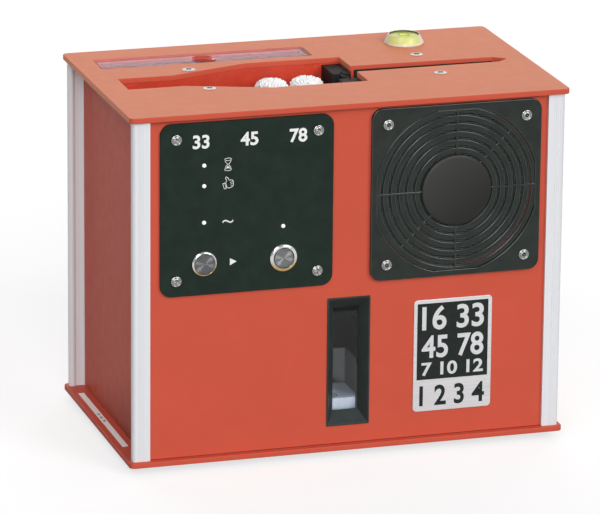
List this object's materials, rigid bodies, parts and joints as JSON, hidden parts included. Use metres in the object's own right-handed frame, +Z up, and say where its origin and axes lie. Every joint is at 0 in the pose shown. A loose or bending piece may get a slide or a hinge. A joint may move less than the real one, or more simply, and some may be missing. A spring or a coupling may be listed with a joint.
{
  "type": "record cleaning machine",
  "caption": "Bench record cleaning machine: panelled case with slotted top, wash tub with turning drums, drying fans, push-button plate, sight window and levelling bubble.",
  "frame": {"origin": "centre of the foot plane, on the table", "axes": "+Z up, the control plate faces -Y, +X to the right seen from the front"},
  "size_m": [0.33, 0.195, 0.274],
  "materials": {
    "red_sheet": "satin, fine mottle",
    "red_plastic": "smooth gloss",
    "post_metal": "anodised, fine lines along the post",
    "rubber": "matt",
    "roller_rubber": "matt, ground",
    "steel": "bright",
    "label_metal": "silver foil",
    "badge": "brushed rim, dark field",
    "black_sheet": "matt",
    "black_plastic": "fine grain",
    "fan_plastic": "moulded",
    "lamp_white": "diffuse",
    "bright_metal": "turned face, polished ring",
    "clear_plastic": "clear",
    "vial_plastic": "clear",
    "lid_plastic": "clear",
    "level_liquid": "liquid",
    "white_plastic": "smooth",
    "grey_plastic": "smooth",
    "brass": "cut",
    "spindle_plastic": "smooth",
    "motor_metal": "zinc",
    "microfibre": "deep pile",
    "filter_foam": "open foam",
    "pump_plastic": "smooth",
    "board_green": "solder mask"
  },
  "bodies": {
    "chassis": {"base_plate": "red_sheet", "top_plate": "red_sheet", "front_posts": "post_metal", "rear_posts": "post_metal", "front_panel": "red_sheet", "rear_panel": "red_sheet", "left_panel": "red_sheet", "right_panel": "red_sheet", "rubber_feet": "rubber", "base_screws": "steel", "top_screws": "steel", "label_strip": "label_metal", "badge_plate": "badge", "control_plate": "black_sheet", "front_plate_screws": "steel", "indicator_lamps": "lamp_white", "start_switch": "bright_metal", "power_switch": "bright_metal", "front_fan_guard": "black_plastic", "front_fan_frame": "fan_plastic", "rear_fan_guard": "black_plastic", "rear_guard_screws": "steel", "rear_fan_frame": "fan_plastic", "window_bezel": "black_plastic", "window_pane": "clear_plastic", "reservoir_tank": "grey_plastic", "tank_cover": "grey_plastic", "wash_tub": "red_plastic", "drying_duct": "black_plastic", "drum_motor": "motor_metal", "drive_motor": "motor_metal", "wiper_blocks": "black_plastic", "wiper_lips": "rubber", "level_vial": "vial_plastic", "level_liquid": "level_liquid", "filter_trough": "red_plastic", "filter_block": "filter_foam", "water_pump": "pump_plastic", "ultrasonic_transducer": "steel", "drain_valve": "pump_plastic", "circuit_board": "board_green", "board_spacers": "brass", "power_inlet": "black_plastic"},
    "start_cap": {"start_button": "bright_metal"},
    "power_cap": {"power_button": "bright_metal"},
    "front_rotor": {"front_fan_rotor": "fan_plastic"},
    "rear_rotor": {"rear_fan_rotor": "fan_plastic"},
    "float": {"level_float": "white_plastic"},
    "pinion": {"drum_pinion": "brass"},
    "drive_wheel": {"drive_roller": "roller_rubber"},
    "idler_wheel": {"idler_roller": "roller_rubber"},
    "lid": {"filter_lid": "lid_plastic"},
    "spindle_1": {"drum_spindle_1": "spindle_plastic"},
    "sleeve_1": {"drum_sleeve_1": "microfibre"},
    "spindle_2": {"drum_spindle_2": "spindle_plastic"},
    "sleeve_2": {"drum_sleeve_2": "microfibre"},
    "spindle_3": {"drum_spindle_3": "spindle_plastic"},
    "sleeve_3": {"drum_sleeve_3": "microfibre"},
    "spindle_4": {"drum_spindle_4": "spindle_plastic"},
    "sleeve_4": {"drum_sleeve_4": "microfibre"}
  },
  "joints": [
    {"name": "start_press", "type": "slide", "parent": "chassis", "child": "start_cap", "axis": [0, 1, 0], "range_m": [0, 0.0015], "stiffness_N_per_m": 800},
    {"name": "power_press", "type": "slide", "parent": "chassis", "child": "power_cap", "axis": [0, 1, 0], "range_m": [0, 0.0015], "stiffness_N_per_m": 800},
    {"name": "front_fan_spin", "type": "hinge", "parent": "chassis", "child": "front_rotor", "pos_m": [0.0796, -0.0782, 0.1965], "axis": [0, 1, 0], "continuous": true},
    {"name": "rear_fan_spin", "type": "hinge", "parent": "chassis", "child": "rear_rotor", "pos_m": [0.0796, 0.0782, 0.1965], "axis": [0, 1, 0], "continuous": true},
    {"name": "float_rise", "type": "slide", "parent": "chassis", "child": "float", "axis": [0, 0, 1], "range_m": [0, 0.032]},
    {"name": "drum_spin_1", "type": "hinge", "parent": "chassis", "child": "spindle_1", "pos_m": [-0.0281, -0.01676, 0.21], "axis": [0, 0, 1], "continuous": true},
    {"name": "drum_lift_1", "type": "slide", "parent": "spindle_1", "child": "sleeve_1", "axis": [0, 0, 1], "range_m": [0, 0.1]},
    {"name": "drum_spin_2", "type": "hinge", "parent": "chassis", "child": "spindle_2", "pos_m": [-0.0011, -0.01676, 0.21], "axis": [0, 0, 1], "continuous": true},
    {"name": "drum_lift_2", "type": "slide", "parent": "spindle_2", "child": "sleeve_2", "axis": [0, 0, 1], "range_m": [0, 0.1]},
    {"name": "drum_spin_3", "type": "hinge", "parent": "chassis", "child": "spindle_3", "pos_m": [-0.0281, 0.01276, 0.21], "axis": [0, 0, 1], "continuous": true},
    {"name": "drum_lift_3", "type": "slide", "parent": "spindle_3", "child": "sleeve_3", "axis": [0, 0, 1], "range_m": [0, 0.1]},
    {"name": "drum_spin_4", "type": "hinge", "parent": "chassis", "child": "spindle_4", "pos_m": [-0.0011, 0.01276, 0.21], "axis": [0, 0, 1], "continuous": true},
    {"name": "drum_lift_4", "type": "slide", "parent": "spindle_4", "child": "sleeve_4", "axis": [0, 0, 1], "range_m": [0, 0.1]},
    {"name": "pinion_spin", "type": "hinge", "parent": "chassis", "child": "pinion", "pos_m": [-0.0146, -0.002, 0.133], "axis": [0, 0, 1], "continuous": true},
    {"name": "drive_roller_spin", "type": "hinge", "parent": "chassis", "child": "drive_wheel", "pos_m": [-0.1159, -0.002, 0.20093], "axis": [0, 1, 0], "continuous": true},
    {"name": "idler_roller_spin", "type": "hinge", "parent": "chassis", "child": "idler_wheel", "pos_m": [0.1197, -0.002, 0.20093], "axis": [0, 1, 0], "continuous": true},
    {"name": "lid_lift", "type": "slide", "parent": "chassis", "child": "lid", "axis": [0, 0, 1], "range_m": [0, 0.04]}
  ],
  "couplings": [
    {"joint": "pinion_spin", "follows": "drum_spin_1", "ratio": -1.5},
    {"joint": "drum_spin_2", "follows": "drum_spin_1", "ratio": 1},
    {"joint": "drum_spin_3", "follows": "drum_spin_1", "ratio": 1},
    {"joint": "drum_spin_4", "follows": "drum_spin_1", "ratio": 1}
  ]
}
